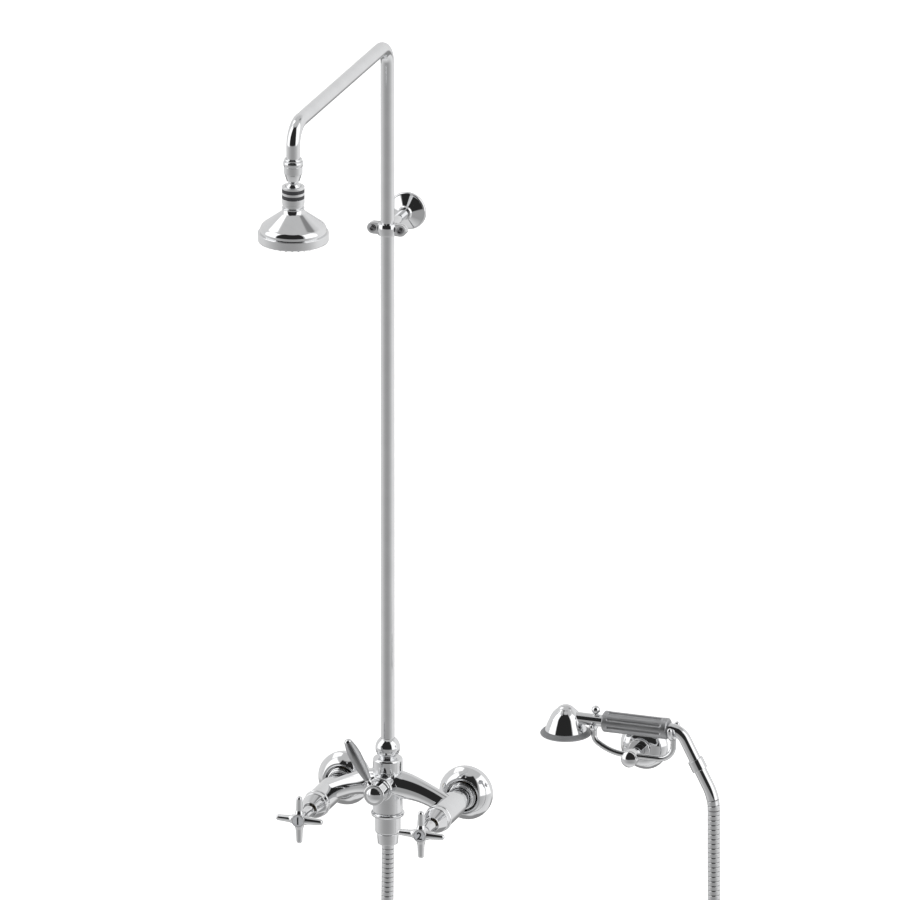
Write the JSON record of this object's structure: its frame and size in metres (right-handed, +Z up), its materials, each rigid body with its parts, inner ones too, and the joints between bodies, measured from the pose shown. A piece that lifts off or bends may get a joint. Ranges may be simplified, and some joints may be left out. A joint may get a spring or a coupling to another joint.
{
  "type": "shower column",
  "caption": "Exposed wall-mounted shower column: cross-handle mixer with diverter lever, riser and arm, swivelling overhead shower, and a hand shower on a ribbed hose in a fork cradle.",
  "frame": {"origin": "on the wall plane, midway between the two water inlets and at their height", "axes": "+Y into the wall along the inlets, +Z up along the riser, +X along the wall towards the hand shower"},
  "size_m": [0.5178, 0.4524, 1.4172],
  "materials": {
    "chrome": "polished chrome plating",
    "hose_metal": "polished interlocked metal hose",
    "satin_metal": "satin grey metal",
    "rim_grey": "matte grey plastic",
    "face_grey": "matte light grey plastic",
    "dark_bands": "matte dark plastic",
    "index_disc": "glossy grey plastic with a printed black mark",
    "nozzle_rubber": "dark grey soft rubber",
    "washer_rubber": "black rubber",
    "seat_plastic": "white low-friction plastic",
    "brass": "machined brass",
    "steel": "stainless steel"
  },
  "bodies": {
    "column": {"arm_end_nut": "chrome", "bracket_flange": "chrome", "clamp_front": "chrome", "clamp_rear": "chrome", "clamp_screws": "steel", "cold_bonnet": "chrome", "cold_cartridge": "brass", "cold_inlet_union": "brass", "cold_union_nut": "chrome", "cold_wall_flange": "chrome", "cradle_flange": "chrome", "cradle_fork": "chrome", "cradle_knob": "chrome", "cradle_post": "chrome", "diverter_bonnet": "chrome", "diverter_cartridge": "brass", "head_ball": "chrome", "hose": "hose_metal", "hose_nut": "chrome", "hose_washer": "washer_rubber", "hot_bonnet": "chrome", "hot_cartridge": "brass", "hot_inlet_union": "brass", "hot_union_nut": "chrome", "hot_wall_flange": "chrome", "inlet_washers": "washer_rubber", "lower_outlet": "chrome", "mixer_body": "chrome", "riser_ball_nut": "chrome", "riser_collar": "chrome", "riser_pipe": "chrome", "wall_screws": "steel"},
    "hot_tap": {"hot_spindle": "brass", "hot_handle": "chrome", "hot_handle_screw": "steel", "hot_index": "index_disc"},
    "cold_tap": {"cold_spindle": "brass", "cold_handle": "chrome", "cold_handle_screw": "steel", "cold_index": "index_disc"},
    "diverter": {"diverter_spindle": "brass", "diverter_hub": "chrome", "lever_rod": "chrome", "lever_grip": "satin_metal", "lever_tip": "chrome"},
    "head_swivel": {"head_seat": "seat_plastic"},
    "head": {"head_socket_nut": "chrome", "socket_bands": "dark_bands", "head_shell": "chrome", "head_face": "chrome", "head_nozzles": "nozzle_rubber"},
    "handset": {"handset_bell": "chrome", "handset_rim": "rim_grey", "handset_face": "face_grey", "handset_nozzles": "nozzle_rubber", "handset_finial": "chrome", "handset_grip": "satin_metal", "handset_tube": "chrome", "handset_nut": "chrome", "hose_connector": "chrome"}
  },
  "joints": [
    {"name": "hot_handle_turn", "type": "hinge", "parent": "column", "child": "hot_tap", "pos_m": [-0.075, -0.13, 0], "axis": [0, -1, 0], "range_deg": [0, 90]},
    {"name": "cold_handle_turn", "type": "hinge", "parent": "column", "child": "cold_tap", "pos_m": [0.075, -0.13, 0], "axis": [0, -1, 0], "range_deg": [0, 90]},
    {"name": "diverter_turn", "type": "hinge", "parent": "column", "child": "diverter", "pos_m": [0, -0.112, 0.0233], "axis": [0, 1, 0], "range_deg": [0, 56]},
    {"name": "head_tilt_front", "type": "hinge", "parent": "column", "child": "head_swivel", "pos_m": [0, -0.3865, 0.853], "axis": [1, 0, 0], "range_deg": [-15, 15]},
    {"name": "head_tilt_side", "type": "hinge", "parent": "head_swivel", "child": "head", "pos_m": [0, -0.3865, 0.853], "axis": [0, 1, 0], "range_deg": [-15, 15]},
    {"name": "handset_lift", "type": "slide", "parent": "column", "child": "handset", "axis": [0, 0, 1], "range_m": [0, 0.08]}
  ]
}
